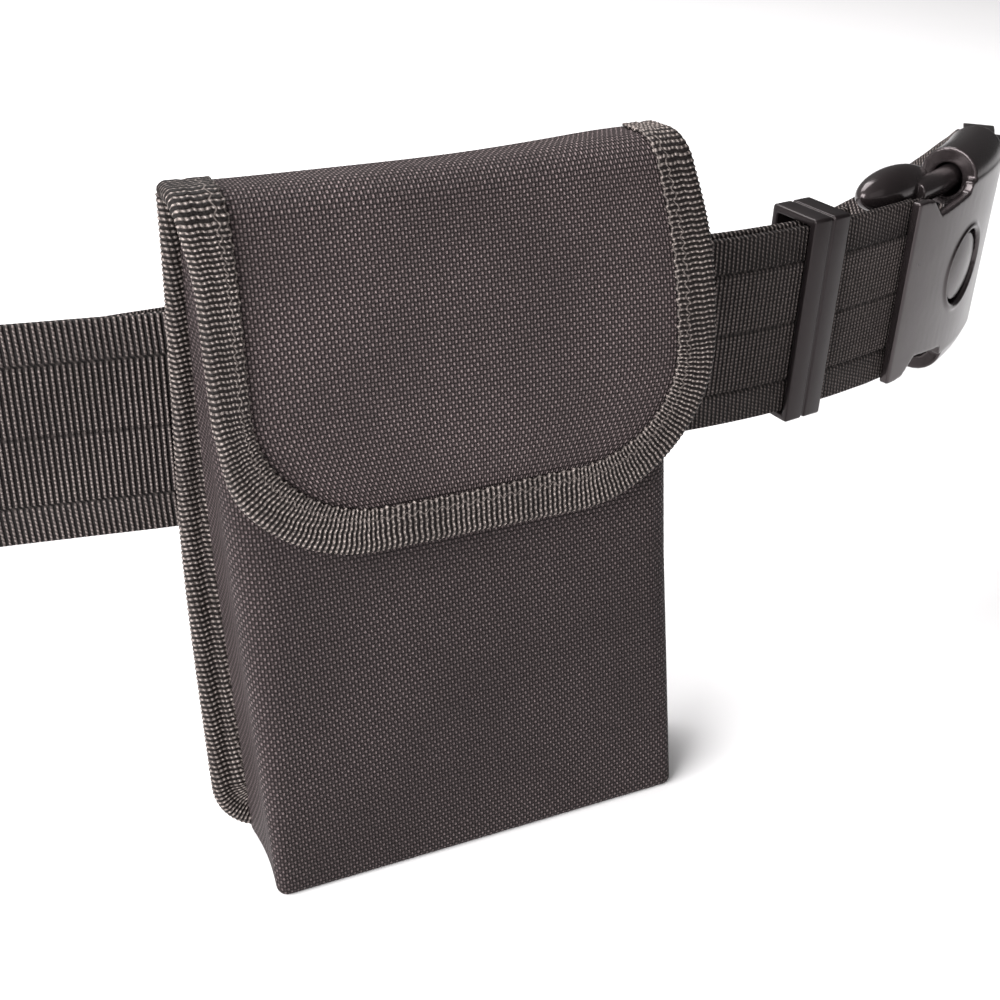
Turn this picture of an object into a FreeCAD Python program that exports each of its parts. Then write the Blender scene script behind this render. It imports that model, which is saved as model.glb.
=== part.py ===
"""Duty belt with a three-point release buckle, a keeper and a belt pouch.

The closed belt is seen as it stands on a table: the pouch stands on its base and props the
front run up, and the back run rests on the table on its lower edge.

Frame: millimetres, +X along the belt at the pouch, +Y from the pouch towards the waist, +Z up.
The origin is the middle of the pouch's base.
"""
import FreeCAD, Part
import math
import os
from FreeCAD import Placement, Rotation, Vector

os.makedirs("parts", exist_ok=True)
doc = FreeCAD.newDocument("duty_belt")

# ---------------------------------------------------------------- driving dimensions
DIMENSIONS = [
    ("strap_width", 50.0, "width of the belt webbing"),
    ("strap_thick", 3.0, "two webbings with a stiffener between them"),
    ("webbing_thick", 1.1, "one webbing of the belt"),
    ("stiffener_width", 44.0, "plastic strip inside the belt"),
    ("stiffener_thick", 0.6, "plastic strip inside the belt"),
    ("lining_width", 49.0, "inner webbing"),
    ("tail_thick", 2.2, "adjusting tail inside the belt"),
    ("patch_width", 44.0, "hook and loop strips"),
    ("patch_length", 84.0, "hook and loop strips"),
    ("patch_thick", 0.35, "hook and loop strips between belt and tail"),
    ("belt_mid", 99.0, "height of the belt's middle line at the pouch"),
    ("belt_back", 31.6, "Y of the belt's middle layer behind the pouch"),
    ("pouch_height", 152.0, "base to the top of the back panel"),
    ("panel_width", 113.0, "back panel"),
    ("panel_thick", 1.8, "back panel"),
    ("front_base_width", 98.4, "front panel at the base"),
    ("front_top_width", 104.0, "front panel at the mouth"),
    ("fabric_thick", 1.6, "front, side and base panels"),
    ("base_front", 11.5, "front edge of the base ahead of the origin"),
    ("mouth_height", 146.0, "top of the front panel"),
    ("front_run", 30.8, "how far the front panel leans back over the pouch's height"),
    ("kink_height", 74.0, "where the back panel starts to lean forward"),
    ("flap_width", 114.0, "flap panel"),
    ("flap_drop", 73.0, "flat front part of the flap"),
    ("flap_thick", 2.0, "flap panel"),
    ("flap_corner", 34.0, "round bottom corners of the flap"),
    ("tape_width", 10.0, "visible width of the binding tape"),
    ("loop_width", 25.0, "belt loops on the pouch's back"),
    ("loop_thick", 1.4, "belt loops on the pouch's back"),
    ("keeper_length", 12.0, "keeper along the belt"),
    ("keeper_depth", 15.2, "keeper through the belt"),
    ("keeper_wall", 2.0, "keeper's walls"),
    ("keeper_height", 54.6, "keeper, outside"),
    ("buckle_radius", 138.0, "curve of the buckle's front face"),
    ("buckle_start", 16.0, "heading of the belt where the buckle starts, degrees"),
    ("plate_thick", 2.8, "buckle's front plate"),
    ("rim_end", 4.5, "arc length at which the side notches start"),
    ("collar_start", 31.0, "arc length at which the collars start"),
    ("female_end", 60.0, "arc length of the female half"),
    ("base_start", 61.0, "arc length at which the male half starts"),
    ("base_end", 74.0, "arc length at which the male half's strap slot starts"),
    ("rail_end", 86.0, "arc length of the whole buckle"),
    ("arm_height", 24.3, "release arms above and below the middle line"),
    ("arm_depth", 129.5, "curve of the release arms' axes"),
    ("rod_radius", 3.4, "release arms' rods"),
    ("arm_root", 71.0, "arc length of the release arms' flex points"),
    ("knob_place", 6.0, "arc length of the middle of the egg-shaped tips"),
    ("button_place", 34.0, "arc length of the centre button"),
    ("button_radius", 9.7, "centre button"),
    ("button_hole", 10.5, "hole for the centre button"),
    ("tongue_tip", 24.0, "arc length of the centre tongue's free end"),
    ("tongue_root", 65.0, "arc length of the centre tongue's root"),
]

sheet = doc.addObject("Spreadsheet::Sheet", "dims")
for row, (name, value, note) in enumerate(DIMENSIONS, 1):
    sheet.set(f"A{row}", name)
    sheet.set(f"B{row}", str(value))
    sheet.set(f"C{row}", note)
    sheet.setAlias(f"B{row}", name)
doc.recompute()


def dim(name):
    """One driving dimension as a plain number."""
    return float(sheet.get(name))


BELT_MID = dim("belt_mid")
STRAP_WIDTH = dim("strap_width")
HALF_STRAP = dim("strap_thick") / 2
BUCKLE_RADIUS = dim("buckle_radius")
START = math.radians(dim("buckle_start"))
BUCKLE_X = 138.0                # the front plate's edge where the belt enters
BUCKLE_Y = 35.4
CENTRE = Vector(BUCKLE_X - BUCKLE_RADIUS * math.sin(START), BUCKLE_Y + BUCKLE_RADIUS * math.cos(START), 0)

nodes = []                      # the exported sub-parts


def keep(item, label):
    """Name a finished sub-part and list it for export."""
    item.Label = label
    nodes.append(item)
    return item


# ---------------------------------------------------------------- plan paths
class Path:
    """A line of tangent runs and arcs in a plane, with its place and heading."""

    def __init__(self, x, y, heading):
        self.x, self.y, self.heading = x, y, heading
        self.spans = []

    def line(self, length):
        self.spans.append((self.x, self.y, self.heading, length, None))
        self.x += length * math.cos(self.heading)
        self.y += length * math.sin(self.heading)
        return self

    def arc(self, radius, turn_degrees):
        turn = math.radians(turn_degrees)
        side = math.copysign(radius, turn)
        self.spans.append((self.x, self.y, self.heading, radius * abs(turn), side))
        end = self.heading + turn
        self.x += side * (math.sin(end) - math.sin(self.heading))
        self.y += side * (math.cos(self.heading) - math.cos(end))
        self.heading = end
        return self

    def length(self):
        return sum(span[3] for span in self.spans)

    def at(self, travel):
        """Point and heading after a travel along the path."""
        for x, y, heading, length, side in self.spans:
            if travel <= length or (x, y, heading, length, side) == self.spans[-1]:
                return span_point(x, y, heading, side, travel)
            travel -= length

    def band(self, low, high):
        """Edges of the closed outline between two offsets; an offset is positive to the left."""
        edges = []
        for offset, forward in ((low, True), (high, False)):
            run = []
            for x, y, heading, length, side in self.spans:
                points = [shifted(span_point(x, y, heading, side, length * k), offset) for k in (0, 0.5, 1)]
                run.append(points)
            if not forward:
                run = [points[::-1] for points in run[::-1]]
            for points, span in zip(run, self.spans if forward else self.spans[::-1]):
                if span[4] is None:
                    edges.append(Part.LineSegment(points[0], points[2]))
                else:
                    edges.append(Part.Arc(*points))
        half = len(edges) // 2
        first, last = edges[0].StartPoint, edges[half - 1].EndPoint
        edges.insert(half, Part.LineSegment(last, shifted(self.at(self.length()), high)))
        edges.append(Part.LineSegment(shifted(self.at(0), high), first))
        return edges


def span_point(x, y, heading, side, travel):
    if side is None:
        return x + travel * math.cos(heading), y + travel * math.sin(heading), heading
    end = heading + travel / side
    x += side * (math.sin(end) - math.sin(heading))
    y += side * (math.cos(heading) - math.cos(end))
    return x, y, end


def shifted(place, offset):
    x, y, heading = place
    return Vector(x - offset * math.sin(heading), y + offset * math.cos(heading), 0)


def polygon(points):
    """Closed outline through points."""
    corners = [Vector(x, y, 0) for x, y in points]
    return [Part.LineSegment(a, b) for a, b in zip(corners, corners[1:] + corners[:1])]


def rectangle(x0, y0, x1, y1):
    return polygon([(x0, y0), (x1, y0), (x1, y1), (x0, y1)])


def round_rectangle(x0, y0, x1, y1, low_radius, high_radius):
    """Rectangle whose bottom and top corners have their own radii."""
    path = Path(x0 + low_radius, y0, 0).line(x1 - x0 - 2 * low_radius).arc(low_radius, 90)
    path.line(y1 - y0 - low_radius - high_radius).arc(high_radius, 90)
    path.line(x1 - x0 - 2 * high_radius).arc(high_radius, 90)
    path.line(y1 - y0 - low_radius - high_radius).arc(low_radius, 90)
    edges = []
    for x, y, heading, length, side in path.spans:
        points = [shifted(span_point(x, y, heading, side, length * k), 0) for k in (0, 0.5, 1)]
        edges.append(Part.LineSegment(points[0], points[2]) if side is None else Part.Arc(*points))
    return edges


# ---------------------------------------------------------------- feature helpers
def body_sketch(name, plane, edges):
    """A body with one sketch on one of its origin planes."""
    body = doc.addObject("PartDesign::Body", name)
    sketch = body.newObject("Sketcher::SketchObject", name + "_sketch")
    face = [item for item in body.Origin.OriginFeatures if item.Role == plane][0]
    sketch.AttachmentSupport = (face, "")
    sketch.MapMode = "FlatFace"
    for edge in edges:
        sketch.addGeometry(edge)
    return body, sketch


def pad(name, plane, edges, length, place=None):
    """A body padded both ways from its plane; length is an expression of the sheet."""
    body, sketch = body_sketch(name, plane, edges)
    feature = body.newObject("PartDesign::Pad", name + "_pad")
    feature.Profile = sketch
    feature.Midplane = True
    feature.setExpression("Length", length)
    if place:
        body.Placement = place
    doc.recompute()
    return body


def sector(name, edges, start, end):
    """A body turned about the buckle's centre line; edges are in radius and height from the middle."""
    body, sketch = body_sketch(name, "XZ_Plane", edges)
    feature = body.newObject("PartDesign::Revolution", name + "_turn")
    feature.Profile = sketch
    feature.ReferenceAxis = (sketch, ["V_Axis"])
    feature.Midplane = True
    feature.setExpression("Angle", f"({end} - ({start})) / dims.buckle_radius * 180 / pi")
    middle = (value_of(start) + value_of(end)) / 2
    body.Placement = buckle_place(middle)
    doc.recompute()
    return body


def value_of(expression):
    """Number of an expression made of sheet names, sums and differences."""
    total, sign = 0.0, 1.0
    for word in expression.split():
        if word in "+-":
            sign = 1.0 if word == "+" else -1.0
        else:
            total += sign * (dim(word[5:]) if word.startswith("dims.") else float(word))
    return total


def buckle_heading(travel):
    return START + travel / BUCKLE_RADIUS


def buckle_place(travel):
    """Frame at the buckle's centre line whose X axis points at an arc length of the buckle."""
    turn = Rotation(Vector(0, 0, 1), math.degrees(buckle_heading(travel)) - 90)
    return Placement(CENTRE + Vector(0, 0, BELT_MID), turn)


def buckle_point(travel, radius, height=0.0):
    angle = buckle_heading(travel)
    return CENTRE + Vector(radius * math.sin(angle), -radius * math.cos(angle), BELT_MID + height)


def radial_cylinder(name, travel, low, high, radius):
    """A cylinder that points out from the buckle's centre line; low and high are radii."""
    item = doc.addObject("Part::Cylinder", name)
    item.setExpression("Radius", radius)
    item.Height = high - low
    angle = math.degrees(buckle_heading(travel)) - 90
    tilt = Rotation(Vector(0, 0, 1), angle).multiply(Rotation(Vector(0, 1, 0), 90))
    item.Placement = Placement(buckle_point(travel, low), tilt)
    return item


def fuse(name, items):
    result = doc.addObject("Part::MultiFuse", name)
    result.Shapes = items
    doc.recompute()
    return result


def cut(name, base, *tools):
    for count, tool in enumerate(tools, 1):
        result = doc.addObject("Part::Cut", f"{name}_{count}")
        result.Base, result.Tool = base, tool
        base = result
    doc.recompute()
    return base


def common(name, base, tool):
    result = doc.addObject("Part::Common", name)
    result.Base, result.Tool = base, tool
    doc.recompute()
    return result


def feature(name, shape):
    item = doc.addObject("Part::Feature", name)
    item.Shape = shape
    return item


# ---------------------------------------------------------------- belt paths
BACK_REST = STRAP_WIDTH / 2     # middle height where the lower edge rests on the table
FRONT_LEFT = -45.0              # the straight run behind the pouch, in X
FRONT_RIGHT = 75.0
FRONT_CURVE = 228.0             # radius between the straight run and the buckle
LEFT_CURVE = 130.0
LEFT_TURN = 7.7                 # degrees
RIGHT_BEND = 72.0               # radius of the bend behind the buckle
RIGHT_END = 172.0               # headings at the two ends of the back run, degrees
LEFT_END = 188.0
BACK_CURVE = 970.0
FEMALE_RUN = 3.0                # arc length at which the belt ends behind the front plate
MALE_BAR = 83.0                 # arc length and radius of the male half's web bar
MALE_BAR_DEPTH = 128.0
MALE_BAR_RADIUS = 1.9
MALE_FOLD = 3.65                # middle radius of the fold round the male web bar


def unit_arc(start, end):
    """Travel of an arc of radius 1 between two headings in degrees."""
    a, b = math.radians(start), math.radians(end)
    return math.sin(b) - math.sin(a), math.cos(a) - math.cos(b)


def belt_path():
    """The belt's middle line from the male web bar round the waist to the front plate."""
    begin = buckle_point(MALE_BAR, MALE_BAR_DEPTH + MALE_FOLD)
    heading = math.degrees(buckle_heading(MALE_BAR))
    path = Path(begin.x, begin.y, math.radians(heading))
    path.arc(RIGHT_BEND, RIGHT_END - heading).arc(BACK_CURVE, LEFT_END - RIGHT_END)
    # the left bend and the short run after it close the loop
    entry = Path(FRONT_LEFT, dim("belt_back"), math.pi).arc(LEFT_CURVE, -LEFT_TURN)
    bend = unit_arc(LEFT_END, 360 - LEFT_TURN)
    run = math.cos(math.radians(-LEFT_TURN)), math.sin(math.radians(-LEFT_TURN))
    gap_x, gap_y = entry.x - path.x, entry.y - path.y
    spread = bend[0] * run[1] - bend[1] * run[0]
    left_bend = (gap_x * run[1] - gap_y * run[0]) / spread
    left_run = (bend[0] * gap_y - bend[1] * gap_x) / spread
    path.arc(left_bend, 360 - LEFT_TURN - LEFT_END).line(left_run).arc(LEFT_CURVE, LEFT_TURN)
    path.line(FRONT_RIGHT - FRONT_LEFT).arc(FRONT_CURVE, dim("buckle_start"))
    path.line(FEMALE_RUN)
    print(f"left bend radius {left_bend:.1f}, left run {left_run:.1f}, belt line {path.length():.1f}")
    return path, left_run


BELT, LEFT_RUN = belt_path()
RIGHT_DROP = 118.0              # travel in which the belt comes down behind the buckle
LEFT_LEVEL = BELT.length() - FEMALE_RUN - sum(span[3] for span in BELT.spans[-5:-1])
LEFT_DROP = 235.0               # travel in which it rises to the front again


def ease(part):
    """Smooth step with a long even slope in its middle."""
    soft = 0.22
    part = min(max(part, 0.0), 1.0)
    if part > 0.5:
        return 1 - ease(1 - part)
    if part < soft:
        return part * part / (2 * soft * (1 - soft))
    return (part - soft / 2) / (1 - soft)


def belt_height(travel):
    rise = BELT_MID - BACK_REST
    if travel < RIGHT_DROP:
        return BELT_MID - rise * ease(travel / RIGHT_DROP)
    return BACK_REST + rise * ease((travel - LEFT_LEVEL + LEFT_DROP) / LEFT_DROP)


def belt_corners(travel, width, low, high):
    """Corners of the belt's section between two offsets from its middle layer."""
    x, y, heading = BELT.at(travel)
    step = 0.5
    slope = (belt_height(travel + step) - belt_height(travel - step)) / (2 * step)
    tangent = Vector(math.cos(heading), math.sin(heading), slope).normalize()
    inward = Vector(-math.sin(heading), math.cos(heading), 0)
    upward = tangent.cross(inward)
    middle = Vector(x, y, belt_height(travel))
    half = width / 2
    return [middle + inward * off + upward * side * half for off, side in
            ((low, -1), (high, -1), (high, 1), (low, 1))]


def belt_layer(name, width, low, high, first=0.0, last=None, sections=120):
    """A layer of the belt: four long edges, the faces between them and two ends."""
    last = BELT.length() if last is None else last
    travels = [first + (last - first) * k / sections for k in range(sections + 1)]
    rows = []
    for travel in travels:
        offsets = (low(travel), high(travel)) if callable(low) else (low, high)
        rows.append(belt_corners(travel, width, *offsets))
    rails = []
    for corner in range(4):
        curve = Part.BSplineCurve()
        curve.interpolate(Points=[row[corner] for row in rows], Parameters=travels)
        rails.append(curve.toShape())
    faces = [Part.makeRuledSurface(rails[k], rails[(k + 1) % 4], 1) for k in range(4)]
    faces += [Part.Face(Part.makePolygon(row + row[:1])) for row in (rows[0], rows[-1])]
    shell = Part.makeShell(faces)
    shell.sewShape()
    solid = Part.makeSolid(shell)
    if solid.Volume < 0:
        solid.reverse()
    return keep(feature(name, solid), name)


def make_belt():
    webbing = dim("webbing_thick")
    core = dim("stiffener_thick") / 2
    belt_layer("belt_outer_webbing", STRAP_WIDTH, -HALF_STRAP, -HALF_STRAP + webbing, 0.4)
    belt_layer("belt_stiffener", dim("stiffener_width"), -core, core, 2.0, BELT.length() - 2.0)
    belt_layer("belt_inner_webbing", dim("lining_width"), HALF_STRAP - webbing, HALF_STRAP, 0.4)


def make_male_end():
    """The belt's fixed end: folded round the male web bar and sewn back on itself."""
    thick = 2.4
    sewn = HALF_STRAP + 0.35 + thick / 2
    lead = 20.0                 # travel in which the folded layer closes on the belt
    def middle(travel):
        return sewn + (2 * MALE_FOLD - sewn) * (1 - ease(travel / lead))
    belt_layer("male_end_return", 48.0, lambda s: middle(s) - thick / 2, lambda s: middle(s) + thick / 2,
               0.3, 50.0, 14)
    begin = buckle_point(MALE_BAR, MALE_BAR_DEPTH + MALE_FOLD)
    fold = Path(begin.x, begin.y, buckle_heading(MALE_BAR) + math.pi).arc(MALE_FOLD, -180)
    keep(pad("male_end_fold", "XY_Plane", fold.band(-thick / 2, thick / 2), "dims.stiffener_width + 4",
             Placement(Vector(0, 0, BELT_MID), Rotation())), "male_end_fold")


TAIL_GAP = 0.9                  # room for the hook and loop strips
TAIL_START = -20.0
TAIL_CURVE = 84.0               # radius where the tail leaves the belt towards the bar
TAIL_FOLLOW = 6.0               # degrees along which it still follows the belt
BAR_TURN = 20.6                 # heading of the belt at the female web bar, degrees
BAR_RADIUS = 1.6
FOLD_THICK = 2.4
FOLD_RADIUS = 3.2               # middle radius of the fold round the female web bar
FOLD_WIDTH = 30.0               # the webbing is gathered between the two release arms
FOLD_RUN = 26.6


def tail_path():
    offset = HALF_STRAP + TAIL_GAP + dim("tail_thick") / 2
    path = Path(TAIL_START, dim("belt_back") + offset, 0).line(FRONT_RIGHT - TAIL_START)
    return path.arc(FRONT_CURVE - offset, TAIL_FOLLOW).arc(TAIL_CURVE, BAR_TURN - TAIL_FOLLOW)


def bar_point():
    """Axis of the female web bar, in plan."""
    end = tail_path().line(FOLD_RUN)
    return shifted((end.x, end.y, end.heading), -FOLD_RADIUS)


def make_tail():
    level = Placement(Vector(0, 0, BELT_MID), Rotation())
    half = dim("tail_thick") / 2
    tail = tail_path()
    keep(pad("belt_tail", "XY_Plane", tail.band(-half, half), "dims.strap_width", level), "belt_tail")
    fold = Path(tail.x, tail.y, tail.heading)
    fold.line(0.25)
    fold = Path(fold.x, fold.y, fold.heading).line(FOLD_RUN - 0.25).arc(FOLD_RADIUS, -180).line(3.0)
    keep(pad("belt_bar_fold", "XY_Plane", fold.band(-FOLD_THICK / 2, FOLD_THICK / 2), f"{FOLD_WIDTH}", level),
         "belt_bar_fold")
    clear = 0.06
    start = TAIL_START + 2
    for name, side in (("belt_loop_strip", clear), ("tail_hook_strip", TAIL_GAP - clear - dim("patch_thick"))):
        low = dim("belt_back") + HALF_STRAP + side
        outline = rectangle(start, low, start + dim("patch_length"), low + dim("patch_thick"))
        keep(pad(name, "XY_Plane", outline, "dims.patch_width", level), name)


# ---------------------------------------------------------------- keeper
KEEPER_X = 106.7
KEEPER_Y = 29.8                 # middle of its front face
KEEPER_TURN = 9.0               # degrees


def make_keeper():
    wall = dim("keeper_wall")
    half_length = dim("keeper_length") / 2
    place = Placement(Vector(KEEPER_X, KEEPER_Y, BELT_MID), Rotation(Vector(0, 0, 1), KEEPER_TURN))
    outer = pad("keeper_block", "XY_Plane", rectangle(-half_length, 0, half_length, dim("keeper_depth")),
                "dims.keeper_height", place)
    slot = rectangle(-half_length - 1, wall, half_length + 1, dim("keeper_depth") - wall)
    hollow = pad("keeper_slot", "XY_Plane", slot, "dims.keeper_height - 2 * dims.keeper_wall + 0.4", place)
    groove = pad("keeper_groove", "XY_Plane", rectangle(-0.5, -1, 0.5, 0.45), "dims.keeper_height + 2", place)
    keep(cut("keeper", outer, hollow, groove), "keeper")


# ---------------------------------------------------------------- buckle
def mirrored(name, edges_of, start, end):
    """The same sector above and below the middle line."""
    return [sector(f"{name}_{word}", edges_of(side), start, end) for word, side in (("upper", 1), ("lower", -1))]


def side_box(low, high, near, far):
    """Rectangle from one radius to another, on the side of the middle line that is asked for."""
    return lambda side: rectangle(low, min(side * near, side * far), high, max(side * near, side * far))


def disc(x, y, radius):
    return [Part.Circle(Vector(x, y, 0), Vector(0, 0, 1), radius)]


def obround(x, low, high, radius):
    """Upright slot outline: two half circles joined by straight sides."""
    return round_rectangle(x - radius, low, x + radius, high, radius - 0.01, radius - 0.01)


PLATE_BACK = BUCKLE_RADIUS - dim("plate_thick")
ARM_DEPTH = dim("arm_depth")
ARM_HEIGHT = dim("arm_height")
RIM_HALF = 25.4
FIELD_HALF = 25.2
NOTCH_PLACE = 16.0              # arc length of the origin of the side notches' outline
NOTCH = ((-11.3, 27.0), (-4.2, 20.2), (11.5, 22.4), (13.5, 27.0))
COLLAR_RADIUS = 8.0
BORE_RADIUS = 4.1
BORE_LOW = 19.1                 # the bore is a slot, so that the arm can be squeezed inwards
BORE_HIGH = 28.3
COVER_LOW = 121.0               # back wall of the female half
COVER_HIGH = 123.5
BRACKET_LOW = 15.3
BRACKET_HIGH = 17.8


def bore(side):
    low, high = sorted((side * BORE_LOW, side * BORE_HIGH))
    return obround(ARM_DEPTH, low, high, BORE_RADIUS)


def notches():
    """Cutters for the two side notches that free the release arms."""
    place = Placement(buckle_point(NOTCH_PLACE, PLATE_BACK + 1.4),
                      Rotation(Vector(0, 0, 1), math.degrees(buckle_heading(NOTCH_PLACE))))
    return [pad(f"notch_{word}", "XZ_Plane", polygon([(x, side * y) for x, y in NOTCH]), "14", place)
            for word, side in (("upper", 1), ("lower", -1))]


def make_female_half():
    start, end = "dims.collar_start", "dims.female_end"
    rim = sector("plate_rim", rectangle(PLATE_BACK, -RIM_HALF, BUCKLE_RADIUS, RIM_HALF), "0", "dims.rim_end")
    field = sector("plate_field", rectangle(PLATE_BACK, -FIELD_HALF, BUCKLE_RADIUS, FIELD_HALF), "0", end)
    shoulders = mirrored("shoulder", side_box(131.5, PLATE_BACK + 0.4, 16.8, 29.0), start, end)
    collars = mirrored("collar", lambda side: disc(ARM_DEPTH + 0.2, side * (ARM_HEIGHT + 0.3), COLLAR_RADIUS),
                       start, end)
    cover = sector("cover_wall", rectangle(COVER_LOW, -22.5, COVER_HIGH, 22.5), "dims.collar_start + 3.5", end)
    bar = doc.addObject("Part::Cylinder", "web_bar")
    bar.Radius = BAR_RADIUS
    bar.Height = 2 * BRACKET_HIGH
    bar.Placement.Base = bar_point() + Vector(0, 0, BELT_MID - BRACKET_HIGH)
    brackets = []
    spot = bar_point() - CENTRE
    travel = (math.atan2(spot.x, -spot.y) - START) * BUCKLE_RADIUS
    reach = PLATE_BACK + 0.6 - spot.Length
    for word, low in (("upper", BRACKET_LOW), ("lower", -BRACKET_HIGH)):
        item = doc.addObject("Part::Box", f"bracket_{word}")
        item.Length, item.Width, item.Height = reach, 2 * BAR_RADIUS, BRACKET_HIGH - BRACKET_LOW
        turn = buckle_place(travel).Rotation
        corner = bar_point() + Vector(0, 0, BELT_MID + low) - turn.multVec(Vector(0, BAR_RADIUS, 0))
        item.Placement = Placement(corner, turn)
        brackets.append(item)
    shell = fuse("female_shell", [rim, field, cover, bar] + shoulders + collars + brackets)
    bores = mirrored("collar_bore", bore, "dims.collar_start - 2", "dims.female_end + 2")
    hole = radial_cylinder("button_opening", dim("button_place"), PLATE_BACK - 4, BUCKLE_RADIUS + 4,
                           "dims.button_hole")
    keep(cut("female_buckle_half", shell, hole, *bores, *notches()), "female_buckle_half")


def make_male_half():
    start, end = "dims.base_start", "dims.base_end"
    block = sector("male_block", rectangle(124.2, -30.2, 136.4, 30.2), start, end)
    rails = mirrored("male_rail", side_box(125.0, 134.0, 25.9, 28.9), "dims.base_end - 1", "dims.rail_end")
    bar = doc.addObject("Part::Cylinder", "male_bar")
    bar.Radius = MALE_BAR_RADIUS
    bar.Height = 55.0
    bar.Placement.Base = buckle_point(MALE_BAR, MALE_BAR_DEPTH, -27.5)
    shell = fuse("male_shell", [block, bar] + rails)
    sockets = mirrored("arm_socket", bore, "dims.base_start - 1", "dims.arm_root + 0.3")
    pocket = sector("tongue_socket", rectangle(125.6, -8.6, 130.9, 8.6), "dims.base_start - 1",
                    "dims.tongue_root + 0.4")
    keep(cut("male_buckle_half", shell, pocket, *sockets), "male_buckle_half")


KNOB_LENGTH = 30.0
KNOB_WIDTH = 11.2
KNOB_HEIGHT = 11.6
KNOB_DEPTH = 125.3              # the finger pads stay inside the strap, so that the arms can be squeezed
KNOB_LIFT = 1.0                 # and a little outside the rods
TONGUE_LOW = 127.2
TONGUE_HIGH = 129.8


def make_release_arms():
    for word, side in (("upper", 1), ("lower", -1)):
        rod = sector(f"rod_{word}", disc(ARM_DEPTH, side * ARM_HEIGHT, dim("rod_radius")),
                     "dims.knob_place + 4", "dims.arm_root")
        knob = doc.addObject("Part::Ellipsoid", f"knob_{word}")
        knob.Radius1, knob.Radius2, knob.Radius3 = KNOB_HEIGHT / 2, KNOB_WIDTH / 2, KNOB_LENGTH / 2
        place = dim("knob_place")
        middle = buckle_point(place, KNOB_DEPTH, side * (ARM_HEIGHT + KNOB_LIFT))
        knob.Placement = Placement(middle, buckle_place(place).Rotation)
        keep(fuse(f"release_arm_{word}", [rod, knob]), f"release_arm_{word}")


def make_centre_release():
    keep(sector("centre_tongue", rectangle(TONGUE_LOW, -8.0, TONGUE_HIGH, 8.0), "dims.tongue_tip",
                "dims.tongue_root"), "centre_tongue")
    button = radial_cylinder("button_disc", dim("button_place"), TONGUE_HIGH - 1.0, BUCKLE_RADIUS - 0.5,
                             "dims.button_radius")
    keep(cut("release_button", button, nodes[-1]), "release_button")


# ---------------------------------------------------------------- pouch
LEAN = math.atan2(dim("front_run"), dim("pouch_height"))
PANEL_BACK = 26.5               # middle of the back panel behind the belt line
PANEL_FOOT = 2.0                # lowest point of the back panel
FOOT_BACK = 11.5                # its middle there
PANEL_TOP = 152.0


def front_face(height):
    return -dim("base_front") + math.tan(LEAN) * height


def upright(edges, name, length, x=0.0):
    """A side profile in Y and Z, padded along X."""
    return pad(name, "YZ_Plane", edges, length, Placement(Vector(x, 0, 0), Rotation()))


def panel_path():
    drop = dim("kink_height") - PANEL_FOOT
    lean = math.atan2(drop, PANEL_BACK - FOOT_BACK)
    path = Path(FOOT_BACK, PANEL_FOOT, lean).line(math.hypot(drop, PANEL_BACK - FOOT_BACK))
    path.heading = math.pi / 2
    return path.line(PANEL_TOP - dim("kink_height"))


def panel_band(name, thick, length, x=0.0):
    """The back panel's side profile at a thickness."""
    lower, upper = panel_path().spans
    half = thick / 2
    joint = Vector(upper[0], upper[1], 0)
    bend = (lower[2] + upper[2]) / 2
    reach = half / math.cos((upper[2] - lower[2]) / 2)
    points = [shifted(lower[:3], -half), shifted((joint.x, joint.y, bend), -reach),
              shifted((upper[0], PANEL_TOP, upper[2]), -half), shifted((upper[0], PANEL_TOP, upper[2]), half),
              shifted((joint.x, joint.y, bend), reach), shifted(lower[:3], half)]
    return upright(polygon([(p.x, p.y) for p in points]), name, length, x)


def outline_prism(name, half_width, low, high, low_radius, high_radius):
    """A rounded outline in X and Z, padded through the pouch."""
    edges = round_rectangle(-half_width, low, half_width, high, low_radius, high_radius)
    return pad(name, "XZ_Plane", edges, "2 * dims.pouch_height")


TAPE_PROUD = 1.6                # the binding adds this to the thickness it wraps
TAPE_OUT = 1.6                  # and stands out this far past the panel's edge


def make_back_panel():
    half = dim("panel_width") / 2
    tape = dim("tape_width")
    outline = outline_prism("panel_outline", half, PANEL_FOOT - 4, PANEL_TOP + 4, 16.0, 4.0)
    panel = common("back_panel_cut", panel_band("panel_stock", dim("panel_thick"), "dims.panel_width + 2"), outline)
    keep(panel, "pouch_back_panel")
    for word, side in (("left", -1), ("right", 1)):
        stock = panel_band(f"tape_{word}", dim("panel_thick") + TAPE_PROUD, "dims.tape_width",
                           side * (half + TAPE_OUT - tape / 2))
        edge = outline_prism(f"tape_outline_{word}", half + TAPE_OUT, PANEL_FOOT - 4, PANEL_TOP + 4, 17.0, 4.0)
        keep(cut(f"flange_{word}", common(f"tape_{word}_cut", stock, edge), panel), f"flange_binding_{word}")
    return panel


def pouch_wires(grow, top, back_grow):
    """Level sections of the pouch's body, from the base through the kink to a height."""
    wires = []
    base, mouth = dim("front_base_width") / 2, dim("front_top_width") / 2
    for height in (0.0, dim("kink_height"), top):
        part = height / dim("pouch_height")
        half = base + (mouth - base) * part - grow
        front = front_face(height) + grow / math.cos(LEAN)
        back = back_face(height) + back_grow
        corners = [Vector(-half, front, height), Vector(half, front, height), Vector(half, back, height),
                   Vector(-half, back, height)]
        wires.append(Part.makePolygon(corners + corners[:1]))
    return wires


def back_face(height):
    """Front side of the back panel, less a seam's room."""
    slope = (PANEL_BACK - FOOT_BACK) / (dim("kink_height") - PANEL_FOOT)
    middle = PANEL_BACK - slope * max(dim("kink_height") - height, 0)
    return middle - dim("panel_thick") / 2 - 0.9


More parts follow.
